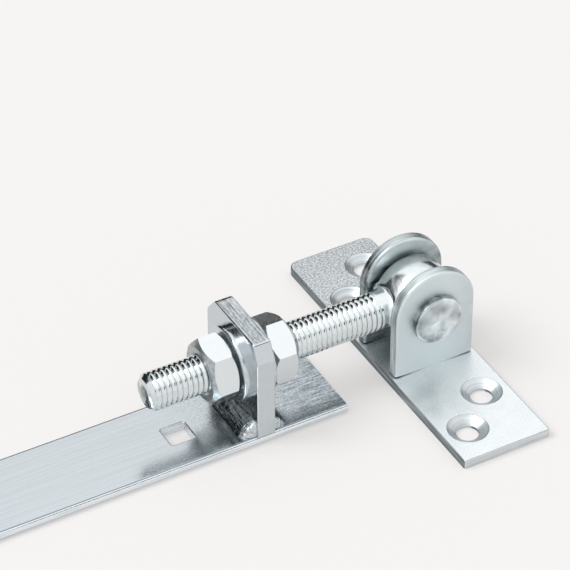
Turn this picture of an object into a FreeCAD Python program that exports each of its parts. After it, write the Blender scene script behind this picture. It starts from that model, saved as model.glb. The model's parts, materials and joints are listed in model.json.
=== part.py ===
"""Adjustable gate hinge: a strap with an upright tab, an eye bolt clamped in it, and a pivoting wall plate.

Millimetres. The origin is the middle of the wall plate's back face. X runs along the strap towards the wall
plate, Y along the pivot rivet, and Z up from the face that the strap and the wall plate share.
"""
import FreeCAD, Part
import math
import os

from FreeCAD import Vector

# Thread and pivot
thread_diameter = 12.0
pivot_height = 22.0
rivet_diameter = 10.0
rivet_head_diameter = 16.4
rivet_head_height = 2.4
rivet_head_edge_radius = 0.7

# Wall plate
plate_length = 108.0
plate_width = 30.0
plate_thickness = 3.0
plate_far_corner_radius = 3.0
plate_near_corner_radius = 0.8
plate_edge_radius = 0.4
screw_hole_diameter = 7.0
screw_countersink_diameter = 12.8
screw_countersink_depth = 2.0
screw_countersink_rim_radius = 0.5
screw_offset_x = 6.3
inner_screw_from_middle = 29.0
outer_screw_from_middle = 41.5

# Lugs on the wall plate
lug_width = 27.6
lug_thickness = 4.0
lug_arc_above_pivot = 2.7
lug_foot_crown = 0.45
lug_edge_radius = 0.9

# Eye bolt
eye_diameter = 24.0
eye_width = 13.0
eye_chamfer = 1.1
neck_blend_radius = 2.0
bolt_end_chamfer = 1.3
bolt_beyond_tab = 30.0

# Nuts and washers
nut_across_flats = 19.0
nut_height = 9.0
nut_face_share = 0.9
nut_chamfer_angle = 35.0
nut_bore_chamfer = 0.7
front_nut_turn = 8.0
rear_nut_turn = 38.0
washer_diameter = 24.0
washer_thickness = 2.5
washer_edge_radius = 0.8

# Strap
strap_length = 640.0
strap_width = 30.0
strap_thickness = 3.0
strap_edge_radius = 1.4
strap_to_plate_gap = 17.5
strap_clip_length = 8.0
strap_clip_width = 10.0
square_hole_size = 8.0
square_hole_corner_radius = 0.6
square_hole_from_end = 51.0
square_hole_towards_near_edge = 1.2
round_hole_diameter = 7.0
round_hole_count = 5
first_round_hole_from_end = 164.0
last_round_hole_from_far_end = 44.0
punched_rim_radius = 0.5

# Tab and its weld
tab_thickness = 6.0
tab_height = 34.0
tab_from_strap_end = 25.0
tab_far_overhang = 2.0
tab_near_corner_width = 3.0
tab_near_corner_height = 6.0
tab_near_corner_radius = 1.2
tab_far_corner_width = 5.0
tab_far_corner_height = 6.0
tab_far_corner_radius = 3.5
tab_edge_radius = 0.6
bead_leg = 5.0
bead_throat_share = 0.62
bead_end_share = 0.75
bead_short_of_edge = 1.0
bead_end_length = 3.0

# Clearances
pivot_clearance = 0.08
rivet_seat_clearance = 0.02
eye_side_play = 0.9
nut_thread_clearance = 0.05
tab_hole_clearance = 0.5
washer_bore_clearance = 0.5

# How close two places are to count as the same
same_place = 1e-6

# Places that follow from the sizes above
X = Vector(1, 0, 0)
Y = Vector(0, 1, 0)
Z = Vector(0, 0, 1)
plate_top = plate_thickness
strap_end = -plate_width / 2 - strap_to_plate_gap
strap_top = strap_thickness
round_hole_reach = strap_length - first_round_hole_from_end - last_round_hole_from_far_end
round_hole_spacing = round_hole_reach / (round_hole_count - 1)
tab_rear = strap_end - tab_from_strap_end
tab_front = tab_rear - tab_thickness
front_nut_seat = tab_front - washer_thickness
rear_nut_seat = tab_rear + washer_thickness
bolt_end = tab_front - bolt_beyond_tab
lug_inner = eye_width / 2 + eye_side_play
lug_outer = lug_inner + lug_thickness


def arc(start, middle, end):
    """Edge of the circle through three points."""
    return Part.Arc(start, middle, end).toShape()


def polygon_face(points):
    """Flat face bounded by straight lines through the points."""
    return Part.Face(Part.makePolygon(points + points[:1]))


def turned(profile, base, axis):
    """Solid made by turning a closed profile of points once round an axis."""
    return polygon_face(profile).revolve(base, axis, 360)


def cylinder_along(axis, start, length, radius):
    """Round bar from a start point along an axis."""
    return Part.makeCylinder(radius, length, start, axis)


def tube_about_bolt(x_from, x_to, radius):
    """Round bar on the bolt's axis between two X places."""
    return cylinder_along(X, Vector(x_from, 0, pivot_height), x_to - x_from, radius)


def save(shape, name):
    """Write one piece to its own file after checking that it is a sound solid."""
    solid = shape.removeSplitter()
    if len(solid.Solids) != 1 or not solid.isValid():
        raise ValueError("not one sound solid: " + name)
    solid.Solids[0].exportStep(os.path.join("parts", name + ".step"))


def edges_along(shape, axis, keep):
    """Straight edges parallel to an axis whose middle passes a test."""
    found = []
    for edge in shape.Edges:
        if not isinstance(edge.Curve, Part.Line):
            continue
        if edge.Curve.Direction.cross(axis).Length < same_place and keep(edge.CenterOfMass):
            found.append(edge)
    return found


def hole_rims(shape, height):
    """Edges of the holes in the level face at a height."""
    rims = []
    for face in shape.Faces:
        if face.BoundBox.ZMin < height - same_place:
            continue
        for wire in face.Wires:
            if not wire.isSame(face.OuterWire):
                rims.extend(wire.Edges)
    return rims


def make_strap():
    """Rolled flat bar with rounded long edges, punched holes and two clipped corners at the far end."""
    far_end = strap_end - strap_length
    half = strap_width / 2
    bar = Part.makeBox(strap_length, strap_width, strap_thickness, Vector(far_end, -half, 0))
    bar = bar.makeFillet(strap_edge_radius, edges_along(bar, X, lambda middle: True))
    for side in (-1, 1):
        corner = [
            Vector(far_end, side * half, 0),
            Vector(far_end + strap_clip_length, side * half, 0),
            Vector(far_end, side * (half - strap_clip_width), 0),
        ]
        bar = bar.cut(polygon_face(corner).extrude(Z * strap_thickness))
    size = square_hole_size
    square_x = strap_end - square_hole_from_end - size / 2
    square_y = -square_hole_towards_near_edge - size / 2
    punch = Part.makeBox(size, size, strap_thickness, Vector(square_x, square_y, 0))
    bar = bar.cut(punch.makeFillet(square_hole_corner_radius, edges_along(punch, Z, lambda middle: True)))
    for index in range(round_hole_count):
        hole_x = strap_end - first_round_hole_from_end - index * round_hole_spacing
        bar = bar.cut(cylinder_along(Z, Vector(hole_x, 0, 0), strap_thickness, round_hole_diameter / 2))
    return bar.makeFillet(punched_rim_radius, hole_rims(bar, strap_top))


def make_tab():
    """Upright plate across the strap, with clipped and rounded top corners and the bolt's clearance hole.

    The tab stands out a little over the strap's far edge.
    """
    near = -strap_width / 2
    far = strap_width / 2 + tab_far_overhang
    top = strap_top + tab_height
    outline = [
        Vector(tab_front, near, strap_top),
        Vector(tab_front, near, top - tab_near_corner_height),
        Vector(tab_front, near + tab_near_corner_width, top),
        Vector(tab_front, far - tab_far_corner_width, top),
        Vector(tab_front, far, top - tab_far_corner_height),
        Vector(tab_front, far, strap_top),
    ]
    tab = polygon_face(outline).extrude(X * tab_thickness)
    near_corner = edges_along(tab, X, lambda middle: middle.z > pivot_height and middle.y < 0)
    tab = tab.makeFillet(tab_near_corner_radius, near_corner)
    far_corner = edges_along(tab, X, lambda middle: middle.z > pivot_height and middle.y > 0)
    tab = tab.makeFillet(tab_far_corner_radius, far_corner)
    rims = []
    for edge in tab.Edges:
        box = edge.BoundBox
        if box.XLength < tab_edge_radius and box.ZMax > strap_top + tab_edge_radius:
            rims.append(edge)
    tab = tab.makeFillet(tab_edge_radius, rims)
    hole_radius = thread_diameter / 2 + tab_hole_clearance
    return tab.cut(tube_about_bolt(tab_front, tab_rear, hole_radius))


def bead_section(y, face_x, side, share):
    """Convex weld section in the corner between the tab's face and the strap's top."""
    leg = bead_leg * share
    corner = Vector(face_x, y, strap_top)
    up = Vector(face_x, y, strap_top + leg)
    out = Vector(face_x + side * leg, y, strap_top)
    throat = corner + Vector(side * leg * bead_throat_share, 0, leg * bead_throat_share)
    return Part.Wire([Part.makeLine(corner, up), arc(up, throat, out), Part.makeLine(out, corner)])


def make_bead(face_x, side):
    """Weld bead along one foot of the tab, thinner towards both ends."""
    reach = strap_width / 2 - bead_short_of_edge
    full = reach - bead_end_length
    spots = ((-reach, bead_end_share), (-full, 1.0), (full, 1.0), (reach, bead_end_share))
    sections = [bead_section(y, face_x, side, share) for y, share in spots]
    return Part.makeLoft(sections, True, True)


def make_eye_bolt():
    """Forged bolt: a round rod that flares into an eye, with flat eye sides and chamfered rims.

    The rod is drawn at the outside of its thread.
    """
    rod_radius = thread_diameter / 2
    flare_radius = rod_radius + neck_blend_radius
    eye_radius = eye_diameter / 2
    half = eye_width / 2
    centre = Vector(0, 0, pivot_height)
    rod_profile = [
        Vector(bolt_end, 0, pivot_height),
        Vector(bolt_end, 0, pivot_height + rod_radius - bolt_end_chamfer),
        Vector(bolt_end + bolt_end_chamfer, 0, pivot_height + rod_radius),
        Vector(0, 0, pivot_height + rod_radius),
        Vector(0, 0, pivot_height),
    ]
    rod = turned(rod_profile, centre, X)
    forged_half = max(half, flare_radius) + neck_blend_radius
    forged_eye = cylinder_along(Y, Vector(0, -forged_half, pivot_height), 2 * forged_half, eye_radius)
    bolt = forged_eye.fuse(rod).removeSplitter()
    joint = [edge for edge in bolt.Edges if not isinstance(edge.Curve, (Part.Line, Part.Circle))]
    bolt = bolt.makeFillet(neck_blend_radius, joint)
    reach = eye_radius - bolt_end
    slab_start = Vector(bolt_end, -half, pivot_height - eye_diameter)
    bolt = bolt.common(Part.makeBox(reach + eye_radius, eye_width, 2 * eye_diameter, slab_start))
    neck = cylinder_along(X, Vector(bolt_end, 0, pivot_height), -bolt_end, flare_radius)
    for side in (-1, 1):
        corner = [
            Vector(eye_radius - eye_chamfer, side * half, pivot_height),
            Vector(eye_radius + eye_chamfer, side * half, pivot_height),
            Vector(eye_radius + eye_chamfer, side * (half - 2 * eye_chamfer), pivot_height),
        ]
        bolt = bolt.cut(turned(corner, centre, Y).cut(neck))
    bore_radius = rivet_diameter / 2 + pivot_clearance
    return bolt.cut(cylinder_along(Y, Vector(0, -half, pivot_height), eye_width, bore_radius))


def make_nut(x_from, turn):
    """Hexagon nut whose corners are turned off at both ends, with a chamfered bore."""
    corner_radius = nut_across_flats / math.sqrt(3)
    points = []
    for index in range(6):
        angle = math.radians(turn + 60 * index)
        offset = Vector(0, corner_radius * math.cos(angle), corner_radius * math.sin(angle))
        points.append(Vector(x_from, 0, pivot_height) + offset)
    prism = polygon_face(points).extrude(X * nut_height)
    x_to = x_from + nut_height
    face_radius = nut_across_flats / 2 * nut_face_share
    drop = (corner_radius - face_radius) * math.tan(math.radians(nut_chamfer_angle))
    bore = thread_diameter / 2 + nut_thread_clearance
    mouth = bore + nut_bore_chamfer
    envelope = [
        (x_from + nut_bore_chamfer, bore),
        (x_from, mouth),
        (x_from, face_radius),
        (x_from + drop, corner_radius),
        (x_to - drop, corner_radius),
        (x_to, face_radius),
        (x_to, mouth),
        (x_to - nut_bore_chamfer, bore),
    ]
    profile = [Vector(x, 0, pivot_height + r) for x, r in envelope]
    return prism.common(turned(profile, Vector(x_from, 0, pivot_height), X))


def make_washer(x_from, rounded_at):
    """Punched flat washer with a rounded outer edge on the side away from the tab."""
    x_to = x_from + washer_thickness
    ring = tube_about_bolt(x_from, x_to, washer_diameter / 2)
    ring = ring.cut(tube_about_bolt(x_from, x_to, thread_diameter / 2 + washer_bore_clearance))
    rim = []
    for edge in ring.Edges:
        box = edge.BoundBox
        at_face = abs(box.XMin - rounded_at) < same_place and abs(box.XMax - rounded_at) < same_place
        if at_face and box.YLength > washer_diameter - same_place:
            rim.append(edge)
    return ring.makeFillet(washer_edge_radius, rim)


def make_wall_plate():
    """Flat plate with four staggered countersunk screw holes."""
    half_length = plate_length / 2
    half_width = plate_width / 2
    plate = Part.makeBox(plate_width, plate_length, plate_thickness, Vector(-half_width, -half_length, 0))
    far_corners = edges_along(plate, Z, lambda middle: middle.y > 0)
    plate = plate.makeFillet(plate_far_corner_radius, far_corners)
    near_corners = edges_along(plate, Z, lambda middle: middle.y < same_place - half_length)
    plate = plate.makeFillet(plate_near_corner_radius, near_corners)
    rim = [edge for edge in plate.Edges if edge.BoundBox.ZMin > plate_thickness - same_place]
    plate = plate.makeFillet(plate_edge_radius, rim)
    hole = screw_hole_diameter / 2
    sink = screw_countersink_diameter / 2
    throat = plate_top - screw_countersink_depth
    spots = (
        (screw_offset_x, -inner_screw_from_middle),
        (-screw_offset_x, -outer_screw_from_middle),
        (-screw_offset_x, inner_screw_from_middle),
        (screw_offset_x, outer_screw_from_middle),
    )
    for x, y in spots:
        profile = [
            Vector(x, y, 0),
            Vector(x + hole, y, 0),
            Vector(x + hole, y, throat),
            Vector(x + sink, y, plate_top),
            Vector(x, y, plate_top),
        ]
        plate = plate.cut(turned(profile, Vector(x, y, 0), Z))
    return plate.makeFillet(screw_countersink_rim_radius, hole_rims(plate, plate_top))


def make_lug(y_from):
    """Round-topped ear whose foot is slightly crowned, so that it meets the wall plate along its middle."""
    half = lug_width / 2
    arc_z = pivot_height + lug_arc_above_pivot
    foot = plate_top + lug_foot_crown
    left_foot = Vector(-half, y_from, foot)
    right_foot = Vector(half, y_from, foot)
    left_top = Vector(-half, y_from, arc_z)
    right_top = Vector(half, y_from, arc_z)
    outline = Part.Wire([
        arc(left_foot, Vector(0, y_from, plate_top), right_foot),
        Part.makeLine(right_foot, right_top),
        arc(right_top, Vector(0, y_from, arc_z + half), left_top),
        Part.makeLine(left_top, left_foot),
    ])
    lug = Part.Face(outline).extrude(Y * lug_thickness)
    rims = []
    for edge in lug.Edges:
        box = edge.BoundBox
        if box.YLength < same_place and box.ZMax > foot + lug_edge_radius:
            rims.append(edge)
    lug = lug.makeFillet(lug_edge_radius, rims)
    bore_radius = rivet_diameter / 2 + rivet_seat_clearance
    return lug.cut(cylinder_along(Y, Vector(0, y_from, pivot_height), lug_thickness, bore_radius))


def make_rivet():
    """Pivot rivet with a low flat head against each lug."""
    shank = rivet_diameter / 2
    head = rivet_head_diameter / 2
    tip = lug_outer + rivet_head_height
    profile = [
        (0, -tip),
        (head, -tip),
        (head, -lug_outer),
        (shank, -lug_outer),
        (shank, lug_outer),
        (head, lug_outer),
        (head, tip),
        (0, tip),
    ]
    points = [Vector(radius, y, pivot_height) for radius, y in profile]
    rivet = turned(points, Vector(0, 0, pivot_height), Y)
    rims = []
    for edge in rivet.Edges:
        box = edge.BoundBox
        at_tip = abs(abs(box.YMin) - tip) < same_place and abs(abs(box.YMax) - tip) < same_place
        if at_tip and box.XLength > rivet_diameter:
            rims.append(edge)
    return rivet.makeFillet(rivet_head_edge_radius, rims)


def main():
    """Build every piece and write each to its own file."""
    os.makedirs("parts", exist_ok=True)
    save(make_strap(), "strap_bar")
    save(make_tab(), "tab_plate")
    save(make_bead(tab_front, -1), "front_weld_bead")
    save(make_bead(tab_rear, 1), "rear_weld_bead")
    save(make_eye_bolt(), "eye_bolt")
    save(make_nut(front_nut_seat - nut_height, front_nut_turn), "front_nut")
    save(make_nut(rear_nut_seat, rear_nut_turn), "rear_nut")
    save(make_washer(front_nut_seat, front_nut_seat), "front_washer")
    save(make_washer(tab_rear, rear_nut_seat), "rear_washer")
    save(make_wall_plate(), "wall_plate")
    save(make_lug(-lug_outer), "near_lug")
    save(make_lug(lug_inner), "far_lug")
    save(make_rivet(), "pivot_rivet")


main()
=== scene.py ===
"""Dressed model of an adjustable gate hinge in bright zinc-plated steel.

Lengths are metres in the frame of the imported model: X runs along the strap towards the wall plate, Y along
the pivot rivet and Z up. Sizes that a maker would state are fields in millimetres.
"""
from __future__ import annotations

import json
import logging
import math
from dataclasses import dataclass, replace
from enum import Enum
from typing import Any

import bmesh
import bpy
from mathutils import Matrix, Vector, noise

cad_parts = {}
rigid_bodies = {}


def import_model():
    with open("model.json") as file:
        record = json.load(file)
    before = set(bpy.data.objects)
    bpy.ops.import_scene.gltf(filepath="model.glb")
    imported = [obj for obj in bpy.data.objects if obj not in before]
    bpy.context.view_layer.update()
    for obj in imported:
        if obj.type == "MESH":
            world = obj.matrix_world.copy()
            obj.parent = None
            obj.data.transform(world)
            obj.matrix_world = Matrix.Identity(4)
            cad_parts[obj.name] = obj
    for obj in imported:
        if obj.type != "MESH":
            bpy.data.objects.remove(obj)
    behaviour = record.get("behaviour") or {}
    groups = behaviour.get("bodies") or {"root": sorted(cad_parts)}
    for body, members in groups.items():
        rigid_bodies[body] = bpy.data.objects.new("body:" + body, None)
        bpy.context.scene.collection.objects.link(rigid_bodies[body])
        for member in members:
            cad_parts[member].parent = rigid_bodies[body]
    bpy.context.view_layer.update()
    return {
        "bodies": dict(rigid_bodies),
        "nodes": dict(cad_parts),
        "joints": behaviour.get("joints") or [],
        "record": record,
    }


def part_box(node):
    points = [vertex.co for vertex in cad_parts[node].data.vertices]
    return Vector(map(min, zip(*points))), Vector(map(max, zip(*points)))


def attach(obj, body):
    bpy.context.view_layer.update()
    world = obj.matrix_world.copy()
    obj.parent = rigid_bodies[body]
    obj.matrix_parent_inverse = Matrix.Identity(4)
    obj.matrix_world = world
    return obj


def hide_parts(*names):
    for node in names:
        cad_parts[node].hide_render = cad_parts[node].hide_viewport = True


LOG = logging.getLogger("gate_hinge")
MM = 0.001
# Points closer together than a seam gap are one point, and an edge shorter than a sliver is dropped.
SEAM_GAP_MM = 0.002
CAD_SEAM_GAP_MM = 0.001
SLIVER_MM = 0.0001


def linear(hex_colour: str) -> tuple[float, float, float, float]:
    """Turn an sRGB hex colour into a linear one.

    Args:
        hex_colour: Colour such as "#c8d0d4".

    Returns:
        Red, green, blue and an alpha of 1.
    """
    channels = [int(hex_colour[start:start + 2], 16) / 255 for start in (1, 3, 5)]
    red, green, blue = (c / 12.92 if c <= 0.04045 else ((c + 0.055) / 1.055) ** 2.4 for c in channels)
    return red, green, blue, 1.0


def add_node(
    tree: bpy.types.NodeTree, kind: str, links: dict[Any, Any] | None = None, **settings: Any
) -> bpy.types.Node:
    """Add a node, set it up and link it.

    Args:
        tree: Tree that gets the node.
        kind: Node type.
        links: Input name or number to a value, a socket, or a node whose first output is meant.
        settings: Properties of the node.

    Returns:
        The new node.
    """
    node = tree.nodes.new(kind)
    for name, value in settings.items():
        setattr(node, name, value)
    for key, value in (links or {}).items():
        if isinstance(value, bpy.types.Node):
            value = value.outputs[0]
        if isinstance(value, bpy.types.NodeSocket):
            tree.links.new(value, node.inputs[key])
        else:
            node.inputs[key].default_value = value
    return node


def blank_material(name: str) -> bpy.types.Material:
    """Start a material with an empty node tree.

    Args:
        name: Name of the material.

    Returns:
        The material.
    """
    made = bpy.data.materials.new(name)
    made.use_nodes = True
    made.node_tree.nodes.clear()
    return made


def place_object(name: str, data: bpy.types.ID) -> bpy.types.Object:
    """Add an object to the scene.

    Args:
        name: Name of the object.
        data: Its mesh, lamp or camera.

    Returns:
        The object.
    """
    placed = bpy.data.objects.new(name, data)
    bpy.context.scene.collection.objects.link(placed)
    return placed


class Facing(Enum):
    """Faces that a grain shows on: an axis, and the normal's share along it where none and all shows."""

    ANY = None
    LEVEL = ("Z", 0.86, 0.96)
    UPRIGHT = ("Z", 0.5, 0.2)
    ENDS = ("X", 0.6, 0.8)
    LONG_SIDES = ("X", 0.72, 0.85)
    SHEARED_END = ("X", 0.96, 0.99)
    CUT_EDGE = ("Y", 0.75, 0.4)
    EDGE_LINE = ("Z", 0.985, 0.95)
    SIDE = ("Z", 0.9, 0.8)
    BEAD_END = ("Y", 0.3, 0.7)


class Span(Enum):
    """Stretch that a grain shows on: an axis, where in mm along it the grain starts, and where it is full."""

    WHOLE = None
    STRAP_FROM_TAB_ON = ("X", -84.0, -66.0)
    STRAP_PAST_TAB = ("X", -60.0, -36.0)
    BOLT_EYE = ("X", -16.0, -11.0)
    EAR_AWAY_FROM_STRAP = ("X", 4.0, 13.0)
    BELOW_EAR_TOP = ("Z", 39.0, 30.0)
    PLATE_FAR_END = ("Y", -10.0, 30.0)


@dataclass(frozen=True)
class Grain:
    """One cloudy pattern of a finish, with its real size along X, Y and Z.

    The pattern swings by a half either way of its lean, and tone, gloss and relief say what that swing does.
    The spread is the part of the pattern's range that fills the swing, so less of it gives harder outlines.
    """

    size_mm: tuple[float, float, float]
    tone: float = 0.0
    gloss: float = 0.0
    relief_mm: float = 0.0
    detail: float = 2.0
    spread: float = 0.5
    lean: float = 0.0
    facing: Facing = Facing.ANY
    span: Span = Span.WHOLE


@dataclass(frozen=True)
class ZincFinish:
    """Zinc plate over one kind of worked steel, between a light and a dark colour."""

    name: str
    light: str
    dark: str
    tone: float
    roughness: float
    grains: tuple[Grain, ...]

    def material(self) -> bpy.types.Material:
        """Build the finish as a metal whose tone, gloss and relief come from its grains.

        Returns:
            The material.
        """
        made = blank_material(self.name)
        tree = made.node_tree
        place = add_node(tree, "ShaderNodeTexCoord")
        tone: Any = self.tone
        gloss: Any = self.roughness
        normal = None
        for grain in self.grains:
            swing = self.swing(tree, place, grain)
            if grain.tone:
                links = {0: swing, 1: grain.tone, 2: tone}
                tone = add_node(tree, "ShaderNodeMath", links, operation="MULTIPLY_ADD", use_clamp=True)
            if grain.gloss:
                links = {0: swing, 1: grain.gloss, 2: gloss}
                gloss = add_node(tree, "ShaderNodeMath", links, operation="MULTIPLY_ADD", use_clamp=True)
            if grain.relief_mm:
                links = {"Height": swing, "Strength": 1.0, "Distance": grain.relief_mm * MM}
                if normal is not None:
                    links["Normal"] = normal
                normal = add_node(tree, "ShaderNodeBump", links)
        # Inputs 6 and 7 of a colour mix are its two colours, and output 2 is the mixed one.
        links = {0: tone, 6: linear(self.dark), 7: linear(self.light)}
        colour = add_node(tree, "ShaderNodeMix", links, data_type="RGBA")
        links = {"Base Color": colour.outputs[2], "Metallic": 1.0, "Roughness": gloss}
        if normal is not None:
            links["Normal"] = normal
        surface = add_node(tree, "ShaderNodeBsdfPrincipled", links)
        add_node(tree, "ShaderNodeOutputMaterial", {"Surface": surface})
        return made

    def swing(self, tree: bpy.types.NodeTree, place: bpy.types.Node, grain: Grain) -> bpy.types.Node:
        """Draw one grain as a value that swings about its lean.

        Args:
            tree: The material's tree.
            place: Texture coordinates.
            grain: What to draw.

        Returns:
            Node whose first output runs from half below the lean to half above it, and is 0 off the grain.
        """
        scale = tuple(1 / (size * MM) for size in grain.size_mm)
        spot = add_node(tree, "ShaderNodeMapping", {"Vector": place.outputs["Object"], "Scale": scale})
        drawn = add_node(tree, "ShaderNodeTexNoise", {"Vector": spot, "Scale": 1.0, "Detail": grain.detail})
        half = grain.spread / 2
        links = {0: drawn, 1: 0.5 - half, 2: 0.5 + half, 3: grain.lean - 0.5, 4: grain.lean + 0.5}
        value = add_node(tree, "ShaderNodeMapRange", links)
        if grain.facing is not Facing.ANY:
            axis, none_at, all_at = grain.facing.value
            normal = add_node(tree, "ShaderNodeSeparateXYZ", {0: place.outputs["Normal"]})
            side = add_node(tree, "ShaderNodeMath", {0: normal.outputs[axis]}, operation="ABSOLUTE")
            share = add_node(tree, "ShaderNodeMapRange", {0: side, 1: none_at, 2: all_at})
            value = add_node(tree, "ShaderNodeMath", {0: value, 1: share}, operation="MULTIPLY")
        if grain.span is not Span.WHOLE:
            axis, none_at, all_at = grain.span.value
            where = add_node(tree, "ShaderNodeSeparateXYZ", {0: place.outputs["Object"]})
            links = {0: where.outputs[axis], 1: none_at * MM, 2: all_at * MM}
            share = add_node(tree, "ShaderNodeMapRange", links)
            value = add_node(tree, "ShaderNodeMath", {0: value, 1: share}, operation="MULTIPLY")
        return value


# On the real hinge, rolling lines, saw lines and plating speckle are a small part of a millimetre wide. They
# are drawn 0.45 mm wide or more, because finer ones would not show in the render.

# Rolled flat bar, plated bright: the eye sees a soft mirror with faint streaks from the rolls. Painted shade
# and dark reflection darken its top under the bolt, as speckle from the tab on and as streaks past it. A
# painted dark reflection line runs along its edges, and its sides get painted shade and a painted highlight.
ROLLED_ZINC = ZincFinish(
    "zinc_on_rolled_bar", light="#e4eaee", dark="#7e898f", tone=0.63, roughness=0.2,
    grains=(
        Grain((70.0, 1.6, 4.0), tone=0.03, gloss=0.03, relief_mm=0.001),
        Grain((40.0, 0.6, 3.0), tone=0.05, spread=0.1, lean=-0.5, facing=Facing.LEVEL),
        Grain((0.6, 0.6, 0.6), tone=0.08, gloss=0.1, relief_mm=0.006),
        # Painted shade: the upright sides darker.
        Grain((9.0, 0.8, 0.8), tone=0.5, gloss=-0.1, lean=-0.9, facing=Facing.UPRIGHT),
        # Painted dark reflection line where the edges start to round.
        Grain((14.0, 0.7, 0.7), tone=0.5, lean=-1.4, facing=Facing.EDGE_LINE),
        # Painted highlight: the rounded edges and sides lighter again.
        Grain((14.0, 0.7, 0.7), tone=-0.72, lean=-1.4, facing=Facing.SIDE),
        # Painted shade and dark reflection under the bolt, as streaks on the top past the tab.
        Grain((7.0, 0.6, 3.0), tone=0.9, lean=-0.3, facing=Facing.LEVEL, span=Span.STRAP_PAST_TAB),
        # Speckle with painted shade under the bolt, on the top from the tab on.
        Grain((0.7, 0.7, 0.7), tone=0.5, lean=-0.2, facing=Facing.LEVEL, span=Span.STRAP_FROM_TAB_ON),
    ),
)
# Sawn flat bar: dark saw lines along the cut top, bright smooth faces.
SAWN_ZINC = ZincFinish(
    "zinc_on_sawn_bar", light="#cfd5d9", dark="#4c575d", tone=0.9, roughness=0.15,
    grains=(
        Grain((0.45, 20.0, 20.0), tone=0.9, gloss=0.1, lean=-0.3, relief_mm=0.06, facing=Facing.LEVEL),
        Grain((0.6, 1.4, 1.4), tone=0.6, gloss=0.25, relief_mm=0.03, facing=Facing.LEVEL),
        Grain((1.2, 1.2, 1.2), tone=0.06, gloss=0.08, relief_mm=0.004, detail=3.0),
    ),
)
# Weld metal under the plate: shiny and lumpy, with painted shade and dark reflection along the run and a
# painted highlight on its rounded ends.
WELD_ZINC = ZincFinish(
    # A low tone: painted shade and dark reflection along the run.
    "zinc_on_weld", light="#ccd3d6", dark="#343d41", tone=0.3, roughness=0.2,
    grains=(
        Grain((0.9, 9.0, 0.9), tone=0.5, gloss=0.1, relief_mm=0.05),
        Grain((1.6, 2.6, 1.6), tone=0.2, gloss=0.1, relief_mm=0.1),
        # Painted highlight on the bead's rounded ends.
        Grain((1.3, 1.3, 1.3), tone=0.7, lean=0.8, relief_mm=0.25, facing=Facing.BEAD_END),
    ),
)
# Rolled thread and forged eye, bright plated: near mirror, hazier on the eye, dull and dark where the bar was
# sheared off.
THREAD_ZINC = ZincFinish(
    "zinc_on_forged_bolt", light="#dde3e4", dark="#4f5a5e", tone=0.94, roughness=0.12,
    grains=(
        Grain((2.5, 2.5, 2.5), tone=0.08, gloss=0.06, relief_mm=0.004, detail=3.0),
        Grain((1.5, 1.5, 1.5), tone=0.7, gloss=-0.1, lean=-1.2, facing=Facing.SHEARED_END),
        Grain((3.0, 3.0, 3.0), gloss=0.1, lean=1.0, span=Span.BOLT_EYE),
    ),
)
# Cold formed nuts, barrel plated: smooth bright facets and darker, duller ends.
NUT_ZINC = ZincFinish(
    "zinc_on_cold_formed_nut", light="#e0e5e7", dark="#5d686d", tone=0.95, roughness=0.2,
    grains=(
        Grain((2.0, 2.0, 2.0), tone=0.05, gloss=0.06, relief_mm=0.003, detail=3.0),
        Grain((1.0, 1.0, 1.0), tone=0.3, gloss=-0.1, lean=-1.6, facing=Facing.ENDS),
    ),
)
# Punched washers: smooth, with a faint tumbled haze.
WASHER_ZINC = ZincFinish(
    "zinc_on_punched_washer", light="#d0d6d9", dark="#7e898e", tone=0.9, roughness=0.17,
    grains=(Grain((1.6, 1.6, 1.6), tone=0.25, gloss=0.08, relief_mm=0.006, detail=3.0),),
)
# Punched strip: speckled like fine orange peel on top, more and darker towards its far end, with turned rings
# in the countersinks and lines across its sheared sides. A painted dark reflection line runs along its edges,
# the edges and sides below it are painted lighter again, and its long sides get painted shade.
PLATE_ZINC = ZincFinish(
    "zinc_on_punched_strip", light="#eff4f6", dark="#626d72", tone=0.97, roughness=0.4,
    grains=(
        Grain((0.6, 0.6, 0.6), tone=0.25, relief_mm=0.015, facing=Facing.LEVEL),
        # Speckle, more of it and darker towards the far end.
        Grain((0.6, 0.6, 0.6), tone=0.8, lean=-0.45, facing=Facing.LEVEL, span=Span.PLATE_FAR_END),
        Grain((6.0, 6.0, 6.0), tone=0.1, gloss=0.1, facing=Facing.LEVEL),
        # Painted dark reflection line where the edges start to round.
        Grain((9.0, 9.0, 9.0), tone=0.6, lean=-1.4, facing=Facing.EDGE_LINE),
        # Painted lighter again on the rounded edges and sides.
        Grain((9.0, 9.0, 9.0), tone=-0.6, lean=-1.4, facing=Facing.SIDE),
        Grain((60.0, 60.0, 0.45), tone=0.5, lean=-0.55, relief_mm=0.04, facing=Facing.SIDE),
        # Painted shade on the long sides.
        Grain((12.0, 12.0, 0.5), tone=0.7, lean=-0.9, facing=Facing.LONG_SIDES),
    ),
)
# Pressed ears: even satin plate, lined along the sheared edge, with painted shade that makes it a little
# greyer away from the strap.
LUG_ZINC = ZincFinish(
    "zinc_on_pressed_ear", light="#e2ebed", dark="#566166", tone=0.93, roughness=0.5,
    grains=(
        Grain((0.8, 0.8, 0.8), tone=0.05, gloss=0.06, relief_mm=0.004, detail=3.0),
        Grain((9.0, 0.5, 9.0), tone=0.7, gloss=0.2, lean=-0.35, relief_mm=0.02, facing=Facing.CUT_EDGE),
        # Painted shade: a little greyer away from the strap.
        Grain((6.0, 6.0, 6.0), tone=0.1, lean=-1.3, span=Span.EAR_AWAY_FROM_STRAP),
    ),
)
# The far ear: the same plate, glossier below its top and darker there with painted shade, where the two ears
# face each other.
EAR_ZINC_WITH_PAINTED_SHADE = replace(
    LUG_ZINC, name="zinc_on_ear_with_painted_shade",
    grains=LUG_ZINC.grains + (
        # Painted shade between the ears, below the ear's top.
        Grain((5.0, 5.0, 2.0), tone=0.5, gloss=0.2, lean=-1.0, span=Span.BELOW_EAR_TOP),
    ),
)
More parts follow.
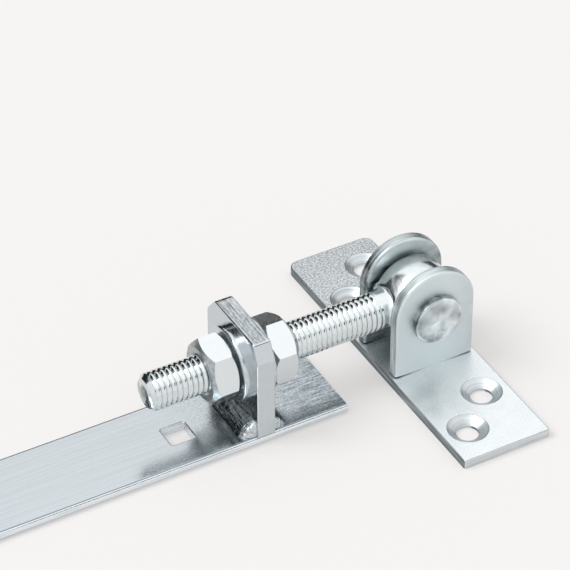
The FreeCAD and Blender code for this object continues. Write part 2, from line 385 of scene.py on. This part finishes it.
# Riveted head: hammered, with bright and dark dents, and painted shade on its side wall.
RIVET_ZINC = ZincFinish(
    "zinc_on_hammered_head", light="#e6ecee", dark="#566167", tone=0.92, roughness=0.2,
    grains=(
        Grain((5.0, 5.0, 5.0), tone=1.0, gloss=0.14, lean=-0.1, relief_mm=0.12, detail=1.0),
        Grain((0.7, 0.7, 0.7), tone=0.08, relief_mm=0.01),
        # Painted shade on the head's side wall.
        Grain((1.5, 1.5, 1.5), tone=0.5, lean=-1.1, facing=Facing.CUT_EDGE),
    ),
)


def dress(frame: dict[str, Any], material: bpy.types.Material, *nodes: str) -> None:
    """Give carried-over nodes a finish.

    Args:
        frame: The loaded frame.
        material: Finish to assign.
        nodes: Names of the nodes.
    """
    for name in nodes:
        frame["nodes"][name].material_slots[0].material = material
        LOG.info("dressed %s in %s", name, material.name)


def new_piece(name: str, mesh: bpy.types.Mesh, body: str, slot: str, *nodes: str) -> bpy.types.Object:
    """Put a finished mesh on its body in place of the nodes that it stands for.

    Args:
        name: Name of the piece.
        mesh: Its mesh, in place.
        body: Body that it rides on.
        slot: Material slot of the record; not used.
        nodes: Nodes that it replaces.

    Returns:
        The piece.
    """
    piece = place_object(name, mesh)
    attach(piece, body)
    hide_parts(*nodes)
    LOG.info("built %s with %d faces", name, len(mesh.polygons))
    return piece


def new_tree(name: str, lengths: tuple[str, ...], counts: tuple[str, ...]) -> bpy.types.NodeTree:
    """Start a geometry node tree with named inputs.

    Args:
        name: Name of the tree.
        lengths: Inputs that are numbers.
        counts: Inputs that are whole numbers.

    Returns:
        The tree, with an input for its material.
    """
    tree = bpy.data.node_groups.new(name, "GeometryNodeTree")
    tree.interface.new_socket("Geometry", in_out="OUTPUT", socket_type="NodeSocketGeometry")
    for length in lengths:
        tree.interface.new_socket(length, in_out="INPUT", socket_type="NodeSocketFloat")
    for count in counts:
        tree.interface.new_socket(count, in_out="INPUT", socket_type="NodeSocketInt")
    tree.interface.new_socket("Material", in_out="INPUT", socket_type="NodeSocketMaterial")
    return tree


def end_tree(tree: bpy.types.NodeTree, shape: bpy.types.Node) -> bpy.types.NodeTree:
    """Close a geometry tree: merge doubles, realize, set the material and hand it out.

    Args:
        tree: The tree.
        shape: Node whose first output is the finished shape.

    Returns:
        The tree.
    """
    given = add_node(tree, "NodeGroupInput").outputs
    links = {"Geometry": shape, "Distance": SEAM_GAP_MM * MM}
    merged = add_node(tree, "GeometryNodeMergeByDistance", links)
    real = add_node(tree, "GeometryNodeRealizeInstances", {"Geometry": merged})
    painted = add_node(tree, "GeometryNodeSetMaterial", {"Geometry": real, "Material": given["Material"]})
    add_node(tree, "NodeGroupOutput", {"Geometry": painted})
    return tree


def grown(tree: bpy.types.NodeTree, values: dict[str, Any]) -> bpy.types.Mesh:
    """Run a node tree once and keep its result as a plain mesh.

    Args:
        tree: Geometry node tree.
        values: Value of each of its inputs, by name.

    Returns:
        The mesh.
    """
    carrier = place_object(tree.name, bpy.data.meshes.new(tree.name))
    modifier = carrier.modifiers.new(tree.name, "NODES")
    modifier.node_group = tree
    for item in tree.interface.items_tree:
        if item.in_out == "INPUT":
            modifier[item.identifier] = values[item.name]
    ready = carrier.evaluated_get(bpy.context.evaluated_depsgraph_get())
    mesh = bpy.data.meshes.new_from_object(ready)
    carrier.modifiers.remove(modifier)
    bpy.data.objects.remove(carrier)
    return mesh


def draw_curve(node: bpy.types.Node, points: list[tuple[float, float]]) -> None:
    """Draw straight runs through points on a float curve.

    Args:
        node: The curve's node.
        points: Places from 0 to 1, in order.
    """
    curve = node.mapping.curves[0]
    while len(curve.points) > 2:
        curve.points.remove(curve.points[1])
    for spot, point in zip(curve.points, (points[0], points[-1])):
        spot.location = point
    for point in points[1:-1]:
        curve.points.new(*point)
    for spot in curve.points:
        spot.handle_type = "VECTOR"
    node.mapping.update()


def finish_mesh(mesh: bpy.types.Mesh, sharp_deg: float) -> None:
    """Close a mesh's open rims, turn its faces outwards and smooth it.

    Args:
        mesh: Mesh to finish.
        sharp_deg: Edges sharper than this stay sharp.
    """
    shape = bmesh.new()
    shape.from_mesh(mesh)
    bmesh.ops.dissolve_degenerate(shape, dist=SLIVER_MM * MM, edges=shape.edges)
    bmesh.ops.holes_fill(shape, edges=shape.edges, sides=0)
    bmesh.ops.recalc_face_normals(shape, faces=shape.faces)
    shape.to_mesh(mesh)
    shape.free()
    mesh.shade_smooth()
    mesh.set_sharp_from_angle(angle=math.radians(sharp_deg))


@dataclass
class StrapAssembly:
    """Long strap with its welded tab.

    A quarter of the bow is how far a ripple trails at the bead's edges, in ripples. The bulge is a share of
    the bead's leg. Two powers shape the bead's ends: more fullness starts the taper later, and more rounding
    makes it slimmer.
    """

    body: str = "strap_assembly"
    ripple_mm: float = 2.8
    ripple_depth_mm: float = 0.05
    ripple_bow: float = 1.2
    lumps_mm: float = 0.35
    lump_size_mm: float = 5.0
    lump_detail: float = 2.0
    throat_bulge: float = 0.12
    end_fullness: float = 14.0
    end_rounding: float = 0.45
    rows_along: int = 240
    rows_across: int = 28
    sharp_deg: float = 60.0

    def build(self) -> None:
        """Make both weld beads, one on each side of the tab."""
        tree = self.bead_tree()
        finish = WELD_ZINC.material()
        tab_low, tab_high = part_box("tab_plate")
        for node, side, face in (("front_weld_bead", -1.0, tab_low.x), ("rear_weld_bead", 1.0, tab_high.x)):
            low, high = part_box(node)
            values = {
                "Face": face, "Side": side, "Foot": low.z, "Leg": high.z - low.z, "Reach": high.y,
                "Ripple": self.ripple_mm * MM, "Ripple Depth": self.ripple_depth_mm * MM,
                "Lumps": self.lumps_mm * MM, "Lump Size": self.lump_size_mm * MM,
                "Bow": self.ripple_bow, "Bulge": self.throat_bulge,
                "Rows Along": self.rows_along, "Rows Across": self.rows_across, "Material": finish,
            }
            mesh = grown(tree, values)
            finish_mesh(mesh, self.sharp_deg)
            new_piece(node + "_rippled", mesh, self.body, "weld_zinc", node)

    def bead_tree(self) -> bpy.types.NodeTree:
        """Plan a fillet weld: a sheet wrapped over the corner, with bowed ripples and lumps.

        Returns:
            The tree.
        """
        lengths = (
            "Face", "Side", "Foot", "Leg", "Reach",
            "Ripple", "Ripple Depth", "Lumps", "Lump Size", "Bow", "Bulge",
        )
        tree = new_tree("weld_bead", lengths, ("Rows Along", "Rows Across"))
        given = add_node(tree, "NodeGroupInput").outputs
        links = {
            "Size X": 2.0, "Size Y": 1.0,
            "Vertices X": given["Rows Along"], "Vertices Y": given["Rows Across"],
        }
        sheet = add_node(tree, "GeometryNodeMeshGrid", links)
        spot = add_node(tree, "ShaderNodeSeparateXYZ", {0: add_node(tree, "GeometryNodeInputPosition")})
        along, across = spot.outputs[0], spot.outputs[1]
        # The section swings through a quarter turn from the strap up to the tab's face.
        links = {0: across, 1: math.pi / 2, 2: math.pi / 4}
        quarter = add_node(tree, "ShaderNodeMath", links, operation="MULTIPLY_ADD")
        sine = add_node(tree, "ShaderNodeMath", {0: quarter}, operation="SINE")
        cosine = add_node(tree, "ShaderNodeMath", {0: quarter}, operation="COSINE")
        # A straight slope from leg to leg, bulged out in the middle.
        slope = add_node(tree, "ShaderNodeMath", {0: sine, 1: cosine}, operation="ADD")
        flat = add_node(tree, "ShaderNodeMath", {0: 1.0, 1: slope}, operation="DIVIDE")
        double = add_node(tree, "ShaderNodeMath", {0: quarter, 1: 2.0}, operation="MULTIPLY")
        swell = add_node(tree, "ShaderNodeMath", {0: double}, operation="SINE")
        links = {0: swell, 1: given["Bulge"], 2: flat}
        radius = add_node(tree, "ShaderNodeMath", links, operation="MULTIPLY_ADD")
        # The ends taper off like a half round.
        far = add_node(tree, "ShaderNodeMath", {0: along}, operation="ABSOLUTE")
        power = add_node(tree, "ShaderNodeMath", {0: far, 1: self.end_fullness}, operation="POWER")
        room = add_node(tree, "ShaderNodeMath", {0: 1.0, 1: power}, operation="SUBTRACT")
        taper = add_node(tree, "ShaderNodeMath", {0: room, 1: self.end_rounding}, operation="POWER")
        # Ripples trail at the edges of the bead.
        y = add_node(tree, "ShaderNodeMath", {0: along, 1: given["Reach"]}, operation="MULTIPLY")
        middle = add_node(tree, "ShaderNodeMath", {0: across, 1: across}, operation="MULTIPLY")
        trail = add_node(tree, "ShaderNodeMath", {0: middle, 1: given["Bow"]}, operation="MULTIPLY")
        turns = add_node(tree, "ShaderNodeMath", {0: y, 1: given["Ripple"]}, operation="DIVIDE")
        phase = add_node(tree, "ShaderNodeMath", {0: turns, 1: trail}, operation="ADD")
        saw = add_node(tree, "ShaderNodeMath", {0: phase}, operation="FRACT")
        ripple = add_node(tree, "ShaderNodeMath", {0: saw, 1: given["Ripple Depth"]}, operation="MULTIPLY")
        # Lumps are drawn from another place on each side of the tab, so that the two beads differ.
        lump_place = add_node(tree, "ShaderNodeCombineXYZ", {0: y, 1: across, 2: given["Side"]})
        lump_scale = add_node(tree, "ShaderNodeMath", {0: 1.0, 1: given["Lump Size"]}, operation="DIVIDE")
        links = {0: lump_place, "Scale": lump_scale}
        lump_spot = add_node(tree, "ShaderNodeVectorMath", links, operation="SCALE")
        links = {"Vector": lump_spot, "Scale": 1.0, "Detail": self.lump_detail}
        cloud = add_node(tree, "ShaderNodeTexNoise", links)
        lump = add_node(tree, "ShaderNodeMath", {0: cloud, 1: given["Lumps"]}, operation="MULTIPLY")
        relief = add_node(tree, "ShaderNodeMath", {0: lump, 1: ripple}, operation="SUBTRACT")
        # The section, its relief and the taper give the distance from the corner.
        links = {0: radius, 1: given["Leg"], 2: relief}
        body = add_node(tree, "ShaderNodeMath", links, operation="MULTIPLY_ADD")
        reach = add_node(tree, "ShaderNodeMath", {0: body, 1: taper}, operation="MULTIPLY")
        out = add_node(tree, "ShaderNodeMath", {0: reach, 1: cosine}, operation="MULTIPLY")
        up = add_node(tree, "ShaderNodeMath", {0: reach, 1: sine, 2: given["Foot"]}, operation="MULTIPLY_ADD")
        links = {0: out, 1: given["Side"], 2: given["Face"]}
        x = add_node(tree, "ShaderNodeMath", links, operation="MULTIPLY_ADD")
        place = add_node(tree, "ShaderNodeCombineXYZ", {0: x, 1: y, 2: up})
        wrapped = add_node(tree, "GeometryNodeSetPosition", {"Geometry": sheet, "Position": place})
        return end_tree(tree, wrapped)

    def dress(self, frame: dict[str, Any]) -> None:
        """Finish the strap and the tab."""
        dress(frame, ROLLED_ZINC.material(), "strap_bar")
        dress(frame, SAWN_ZINC.material(), "tab_plate")


@dataclass
class ClampedBolt:
    """Eye bolt with its nuts and washers.

    The profile is one turn of thread as straight runs: a share of the pitch, and a share of the depth there.
    """

    body: str = "bolt"
    thread_diameter_mm: float = 12.0
    pitch_mm: float = 1.75
    thread_depth_mm: float = 0.5
    end_chamfer_mm: float = 1.4
    thread_stop_mm: float = -14.4
    run_out_turns: float = 1.1
    spare_turns: int = 2
    segments: int = 72
    sharp_deg: float = 38.0
    profile: tuple[tuple[float, float], ...] = (
        (0.0, 0.08), (0.05, 0.0), (0.1, 0.08), (0.34, 0.96), (0.58, 1.0), (0.84, 0.96), (1.0, 0.08)
    )

    def build(self, frame: dict[str, Any]) -> None:
        """Make the threaded rod and join the eye to it.

        Args:
            frame: The loaded frame.
        """
        low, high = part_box("eye_bolt")
        axis_z = (low.z + high.z) / 2
        stop = self.thread_stop_mm * MM
        finish = THREAD_ZINC.material()
        turns = math.ceil((stop - low.x) / (self.pitch_mm * MM)) + self.spare_turns
        values = {
            "Start": low.x, "Stop": stop, "Axis Height": axis_z, "Pitch": self.pitch_mm * MM,
            "Outer Radius": self.thread_diameter_mm / 2 * MM, "Depth": self.thread_depth_mm * MM,
            "End Chamfer": self.end_chamfer_mm * MM, "Run Out": self.run_out_turns * self.pitch_mm * MM,
            "Segments": self.segments, "Turns": turns, "Material": finish,
        }
        rod = grown(self.thread_tree(), values)
        eye = self.eye_mesh(frame["nodes"]["eye_bolt"].data, stop)
        shape = bmesh.new()
        shape.from_mesh(rod)
        shape.from_mesh(eye)
        shape.to_mesh(rod)
        shape.free()
        rod.materials.clear()
        rod.materials.append(finish)
        rod.polygons.foreach_set("material_index", [0] * len(rod.polygons))
        finish_mesh(rod, self.sharp_deg)
        new_piece("eye_bolt_threaded", rod, self.body, "thread_zinc", "eye_bolt")

    def eye_mesh(self, mesh: bpy.types.Mesh, stop: float) -> bpy.types.Mesh:
        """Copy the forged eye and its neck, cut off where the thread stops.

        Args:
            mesh: Mesh of the plain bolt.
            stop: Place of the cut along X.

        Returns:
            The eye's mesh.
        """
        shape = bmesh.new()
        shape.from_mesh(mesh)
        bmesh.ops.remove_doubles(shape, verts=shape.verts, dist=CAD_SEAM_GAP_MM * MM)
        everything = shape.verts[:] + shape.edges[:] + shape.faces[:]
        bmesh.ops.bisect_plane(
            shape, geom=everything, plane_co=(stop, 0, 0), plane_no=(1, 0, 0), clear_inner=True
        )
        copy = bpy.data.meshes.new("eye")
        shape.to_mesh(copy)
        shape.free()
        return copy

    def thread_tree(self) -> bpy.types.NodeTree:
        """Plan a threaded rod: a sheet wrapped round the axis along the helix.

        Returns:
            The tree.
        """
        lengths = ("Start", "Stop", "Axis Height", "Pitch", "Outer Radius", "Depth", "End Chamfer", "Run Out")
        tree = new_tree("threaded_rod", lengths, ("Segments", "Turns"))
        given = add_node(tree, "NodeGroupInput").outputs
        runs = len(self.profile) - 1
        columns = add_node(tree, "ShaderNodeMath", {0: given["Segments"], 1: 1.0}, operation="ADD")
        rows = add_node(tree, "ShaderNodeMath", {0: given["Turns"], 1: float(runs)}, operation="MULTIPLY")
        links = {"Size X": 1.0, "Size Y": 1.0, "Vertices X": columns, "Vertices Y": rows}
        sheet = add_node(tree, "GeometryNodeMeshGrid", links)
        spot = add_node(tree, "ShaderNodeSeparateXYZ", {0: add_node(tree, "GeometryNodeInputPosition")})
        # The sheet runs from minus a half to a half, which is one turn about the axis.
        share = add_node(tree, "ShaderNodeMath", {0: spot.outputs[0], 1: 0.5}, operation="ADD")
        angle = add_node(tree, "ShaderNodeMath", {0: share, 1: math.tau}, operation="MULTIPLY")
        # Each row is one corner of the thread's profile, one turn after another.
        height = add_node(tree, "ShaderNodeMath", {0: spot.outputs[1], 1: 0.5}, operation="ADD")
        last = add_node(tree, "ShaderNodeMath", {0: rows, 1: 1.0}, operation="SUBTRACT")
        number = add_node(tree, "ShaderNodeMath", {0: height, 1: last}, operation="MULTIPLY")
        row = add_node(tree, "ShaderNodeMath", {0: number}, operation="ROUND")
        exact = add_node(tree, "ShaderNodeMath", {0: row, 1: float(runs)}, operation="DIVIDE")
        turn = add_node(tree, "ShaderNodeMath", {0: exact}, operation="FLOOR")
        corner = add_node(tree, "ShaderNodeMath", {0: exact}, operation="FRACT")
        corner_place = add_node(tree, "ShaderNodeFloatCurve", {"Value": corner})
        draw_curve(corner_place, [(index / runs, point[0]) for index, point in enumerate(self.profile)])
        ahead = add_node(tree, "ShaderNodeMath", {0: turn, 1: corner_place}, operation="ADD")
        lead = add_node(tree, "ShaderNodeMath", {0: ahead, 1: share}, operation="ADD")
        back = add_node(tree, "ShaderNodeMath", {0: lead, 1: 1.0}, operation="SUBTRACT")
        links = {0: back, 1: given["Pitch"], 2: given["Start"]}
        free_x = add_node(tree, "ShaderNodeMath", links, operation="MULTIPLY_ADD")
        x = add_node(tree, "ShaderNodeClamp", {"Value": free_x, "Min": given["Start"], "Max": given["Stop"]})
        # The profile's height where the row really lies, after the rod's two ends cut it off.
        run = add_node(tree, "ShaderNodeMath", {0: x, 1: given["Start"]}, operation="SUBTRACT")
        wound = add_node(tree, "ShaderNodeMath", {0: run, 1: given["Pitch"]}, operation="DIVIDE")
        phase = add_node(tree, "ShaderNodeMath", {0: wound, 1: share}, operation="SUBTRACT")
        cycle = add_node(tree, "ShaderNodeMath", {0: phase}, operation="FRACT")
        crest = add_node(tree, "ShaderNodeFloatCurve", {"Value": cycle})
        draw_curve(crest, list(self.profile))
        links = {0: given["Outer Radius"], 1: given["Depth"]}
        root = add_node(tree, "ShaderNodeMath", links, operation="SUBTRACT")
        links = {0: crest, 1: given["Depth"], 2: root}
        threaded = add_node(tree, "ShaderNodeMath", links, operation="MULTIPLY_ADD")
        # The thread runs out into the plain neck, and the free end is turned off by a chamfer.
        left = add_node(tree, "ShaderNodeMath", {0: given["Stop"], 1: x}, operation="SUBTRACT")
        links = {0: left, 1: 0.0, 2: given["Run Out"]}
        fade = add_node(tree, "ShaderNodeMapRange", links, interpolation_type="SMOOTHSTEP")
        links = {0: fade, 2: given["Outer Radius"], 3: threaded}
        plain = add_node(tree, "ShaderNodeMix", links, data_type="FLOAT")
        links = {0: given["Outer Radius"], 1: given["End Chamfer"]}
        tip = add_node(tree, "ShaderNodeMath", links, operation="SUBTRACT")
        cone = add_node(tree, "ShaderNodeMath", {0: tip, 1: run}, operation="ADD")
        radius = add_node(tree, "ShaderNodeMath", {0: plain, 1: cone}, operation="MINIMUM")
        sine = add_node(tree, "ShaderNodeMath", {0: angle}, operation="SINE")
        cosine = add_node(tree, "ShaderNodeMath", {0: angle}, operation="COSINE")
        y = add_node(tree, "ShaderNodeMath", {0: radius, 1: sine}, operation="MULTIPLY")
        links = {0: radius, 1: cosine, 2: given["Axis Height"]}
        z = add_node(tree, "ShaderNodeMath", links, operation="MULTIPLY_ADD")
        place = add_node(tree, "ShaderNodeCombineXYZ", {0: x, 1: y, 2: z})
        wrapped = add_node(tree, "GeometryNodeSetPosition", {"Geometry": sheet, "Position": place})
        return end_tree(tree, wrapped)

    def dress(self, frame: dict[str, Any]) -> None:
        """Finish the nuts and the washers."""
        dress(frame, NUT_ZINC.material(), "front_nut", "rear_nut")
        dress(frame, WASHER_ZINC.material(), "front_washer", "rear_washer")


@dataclass
class WallBracket:
    """Wall plate with its lugs and the rivet that the eye turns on."""

    body: str = "wall_bracket"
    rivet_shank_mm: float = 10.0
    dome_mm: float = 0.25
    dent_mm: float = 0.16
    dent_size_mm: float = 3.2
    rim_mm: float = 0.8
    rim_steps: int = 6
    segments: int = 96
    rings: int = 22
    sharp_deg: float = 50.0

    def build(self) -> None:
        """Make the rivet with hammered heads."""
        low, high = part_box("pivot_rivet")
        lug_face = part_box("far_lug")[1].y
        centre = (low + high) / 2
        head = (high.z - low.z) / 2
        tip = high.y
        shank = self.rivet_shank_mm / 2 * MM
        rim = self.rim_mm * MM
        flat = head - rim
        profile = [(shank, -lug_face), (shank, lug_face), (head, lug_face)]
        for step in range(self.rim_steps + 1):
            angle = step / self.rim_steps * math.pi / 2
            profile.append((flat + rim * math.cos(angle), tip - rim + rim * math.sin(angle)))
        for ring in range(1, self.rings):
            radius = flat * (1 - ring / self.rings)
            dome = self.dome_mm * MM * (1 - (radius / flat) ** 2)
            profile.append((radius, tip + dome))
        far = [(radius, -y) for radius, y in reversed(profile[2:])]
        shape = bmesh.new()
        self.turn(shape, far + profile, centre)
        mesh = bpy.data.meshes.new("pivot_rivet_hammered")
        shape.to_mesh(mesh)
        shape.free()
        mesh.materials.append(RIVET_ZINC.material())
        finish_mesh(mesh, self.sharp_deg)
        new_piece("pivot_rivet_hammered", mesh, self.body, "rivet_zinc", "pivot_rivet")

    def turn(self, shape: bmesh.types.BMesh, profile: list[tuple[float, float]], centre: Vector) -> None:
        """Turn a profile about the rivet's axis and dent its two heads.

        Args:
            shape: Mesh under construction.
            profile: Radius and place along Y, from one head's middle to the other's.
            centre: Middle of the rivet.
        """
        rings = []
        tip = max(y for radius, y in profile)
        for radius, y in profile:
            ring = []
            for index in range(self.segments):
                angle = index / self.segments * math.tau
                spot = Vector((radius * math.cos(angle), y, radius * math.sin(angle)))
                if abs(y) > tip - (self.rim_mm + self.dome_mm) * MM:
                    dent = noise.noise(spot / (self.dent_size_mm * MM)) * self.dent_mm * MM
                    spot.y += math.copysign(dent, y)
                ring.append(shape.verts.new(centre + spot))
            rings.append(ring)
        for first, second in zip(rings, rings[1:]):
            for index in range(self.segments):
                after = (index + 1) % self.segments
                shape.faces.new((first[index], first[after], second[after], second[index]))
        for ring in (rings[0], rings[-1]):
            shape.faces.new(ring)

    def dress(self, frame: dict[str, Any]) -> None:
        """Finish the plate and the lugs.

        Args:
            frame: The loaded frame.
        """
        dress(frame, PLATE_ZINC.material(), "wall_plate")
        dress(frame, LUG_ZINC.material(), "near_lug")
        dress(frame, EAR_ZINC_WITH_PAINTED_SHADE.material(), "far_lug")


@dataclass(frozen=True)
class Flag:
    """Dark card on a sphere about the set, which the plating mirrors as a dark band.

    Bearings run to the right from straight behind the hinge, as the camera sees it.
    """

    name: str
    left_deg: float
    right_deg: float
    low_deg: float
    high_deg: float
    colour: str
    radius_m: float = 0.36
    steps: int = 32

    def build(self, turn: Matrix) -> None:
        """Hang the card where only reflections see it.

        Args:
            turn: Turn about Z from the camera's bearing to the frame.
        """
        spots = []
        for height in (self.low_deg, self.high_deg):
            for step in range(self.steps + 1):
                bearing = math.radians(self.left_deg + (self.right_deg - self.left_deg) * step / self.steps)
                rise = math.radians(height)
                level = Vector((math.sin(bearing), math.cos(bearing), 0)) * math.cos(rise)
                spots.append(turn @ (level + Vector((0, 0, math.sin(rise)))) * self.radius_m)
        above = self.steps + 1
        faces = [(step, step + 1, step + 1 + above, step + above) for step in range(self.steps)]
        mesh = bpy.data.meshes.new(self.name)
        mesh.from_pydata(spots, [], faces)
        card = blank_material(self.name)
        matte = add_node(card.node_tree, "ShaderNodeBsdfDiffuse", {"Color": linear(self.colour)})
        add_node(card.node_tree, "ShaderNodeOutputMaterial", {"Surface": matte})
        mesh.materials.append(card)
        flag = place_object(self.name, mesh)
        flag.visible_camera = False
        flag.visible_diffuse = False
        flag.visible_shadow = False


@dataclass
class Studio:
    """Pale floor in a white tent, with dark flags, soft lamps and the camera.

    The tent has one level for the eye and the plating, and a lower one for the light that it sheds.
    The key lamp's direction is to the right, away from the camera and up.
    """

    floor_colour: str = "#e4e2e1"
    glow_colour: str = "#f7f5f4"
    floor_half_m: float = 6.0
    floor_below_mm: float = 0.2
    floor_glow: float = 0.45
    tent_colour: str = "#ffffff"
    tent_seen: float = 1.02
    tent_shed: float = 0.66
    azimuth_deg: float = -29.18
    elevation_deg: float = 38.94
    distance_m: float = 1.0185
    aim_left_mm: float = 40.18
    aim_up_mm: float = 20.57
    lens_mm: float = 207.3
    view_depth_m: float = 100.0
    key_strength: float = 1.5
    key_spread_deg: float = 32.0
    key_from: tuple[float, float, float] = (-0.62, -0.1, 0.78)
    softbox_watts: float = 5.9
    softbox_size_m: float = 2.6
    softbox_height_m: float = 1.2
    flags: tuple[Flag, ...] = (
        Flag("low_flag_behind", -100.0, 50.0, 0.0, 26.0, "#2a2e31"),
        Flag("flag_left", -105.0, -52.0, 30.0, 58.0, "#141618"),
        Flag("flag_right", 117.0, 162.0, 31.0, 46.0, "#101214"),
    )

    def build(self) -> None:
        """Set up the floor, the light and the camera."""
        turn = Matrix.Rotation(math.radians(self.azimuth_deg), 3, "Z")
        self.lay_floor()
        self.light(turn)
        for flag in self.flags:
            flag.build(turn)
        self.aim_camera(turn)
        bpy.context.scene.view_settings.view_transform = "Standard"

    def seen(self, tree: bpy.types.NodeTree) -> bpy.types.Node:
        """Tell what the eye sees, straight or in the plating, from what only sheds light.

        Args:
            tree: Tree that gets the nodes.

        Returns:
            Node that gives 1 for what is seen.
        """
        ray = add_node(tree, "ShaderNodeLightPath").outputs
        links = {0: ray["Is Glossy Ray"], 1: ray["Is Transmission Ray"]}
        mirrored = add_node(tree, "ShaderNodeMath", links, operation="MAXIMUM")
        return add_node(tree, "ShaderNodeMath", {0: ray["Is Camera Ray"], 1: mirrored}, operation="MAXIMUM")

    def lay_floor(self) -> None:
        """Lay a large pale floor just under the hinge, clear when seen from below.

        The eye and the plating see it partly lit up by itself, so that shadows on it stay soft.
        """
        half = self.floor_half_m
        z = -self.floor_below_mm * MM
        mesh = bpy.data.meshes.new("floor")
        spots = [(-half, -half, z), (half, -half, z), (half, half, z), (-half, half, z)]
        mesh.from_pydata(spots, [], [(0, 1, 2, 3)])
        floor = place_object("floor", mesh)
        paper = blank_material("pale_paper")
        tree = paper.node_tree
        links = {0: self.seen(tree), 1: self.floor_glow}
        share = add_node(tree, "ShaderNodeMath", links, operation="MULTIPLY")
        matte = add_node(tree, "ShaderNodeBsdfDiffuse", {"Color": linear(self.floor_colour)})
        glow = add_node(tree, "ShaderNodeEmission", {"Color": linear(self.glow_colour), "Strength": 1.0})
        paper_face = add_node(tree, "ShaderNodeMixShader", {0: share, 1: matte, 2: glow})
        clear = add_node(tree, "ShaderNodeBsdfTransparent")
        side = add_node(tree, "ShaderNodeNewGeometry").outputs["Backfacing"]
        sides = add_node(tree, "ShaderNodeMixShader", {0: side, 1: paper_face, 2: clear})
        add_node(tree, "ShaderNodeOutputMaterial", {"Surface": sides})
        mesh.materials.append(paper)

    def light(self, turn: Matrix) -> None:
        """Light the set by the tent, a soft box overhead and a wide key lamp from the upper left.

        Args:
            turn: Turn about Z from the camera's bearing to the frame.
        """
        world = bpy.data.worlds.new("white_tent")
        bpy.context.scene.world = world
        world.use_nodes = True
        tree = world.node_tree
        tree.nodes.clear()
        links = {0: self.seen(tree), 3: self.tent_shed, 4: self.tent_seen}
        level = add_node(tree, "ShaderNodeMapRange", links)
        tent = add_node(tree, "ShaderNodeBackground", {"Color": linear(self.tent_colour), "Strength": level})
        add_node(tree, "ShaderNodeOutputWorld", {"Surface": tent})
        key = bpy.data.lights.new("key", "SUN")
        key.energy = self.key_strength
        key.angle = math.radians(self.key_spread_deg)
        sun = place_object("key", key)
        sun.rotation_euler = (turn @ Vector(self.key_from)).to_track_quat("Z", "Y").to_euler()
        box = bpy.data.lights.new("softbox", "AREA")
        box.energy = self.softbox_watts
        box.size = self.softbox_size_m
        overhead = place_object("softbox", box)
        overhead.location = (0, 0, self.softbox_height_m)
        overhead.rotation_euler = (0, 0, math.radians(self.azimuth_deg))
        overhead.visible_camera = False

    def aim_camera(self, turn: Matrix) -> None:
        """Place a long lens at the photograph's angle.

        Args:
            turn: Turn about Z from the camera's bearing to the frame.
        """
        axes = turn @ Matrix.Rotation(math.radians(90 - self.elevation_deg), 3, "X")
        data = bpy.data.cameras.new("camera")
        data.lens = self.lens_mm
        data.clip_end = self.view_depth_m
        camera = place_object("camera", data)
        offset = Vector((-self.aim_left_mm * MM, self.aim_up_mm * MM, self.distance_m))
        camera.matrix_world = Matrix.Translation(axes @ offset) @ axes.to_4x4()
        bpy.context.scene.camera = camera


def main() -> None:
    """Load the frame, build and dress each sub-assembly, and set the studio."""
    logging.basicConfig(level=logging.INFO, format="%(name)s: %(message)s")
    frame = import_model()
    strap = StrapAssembly()
    strap.build()
    strap.dress(frame)
    bolt = ClampedBolt()
    bolt.build(frame)
    bolt.dress(frame)
    bracket = WallBracket()
    bracket.build()
    bracket.dress(frame)
    Studio().build()


if __name__ == "__main__":
    main()
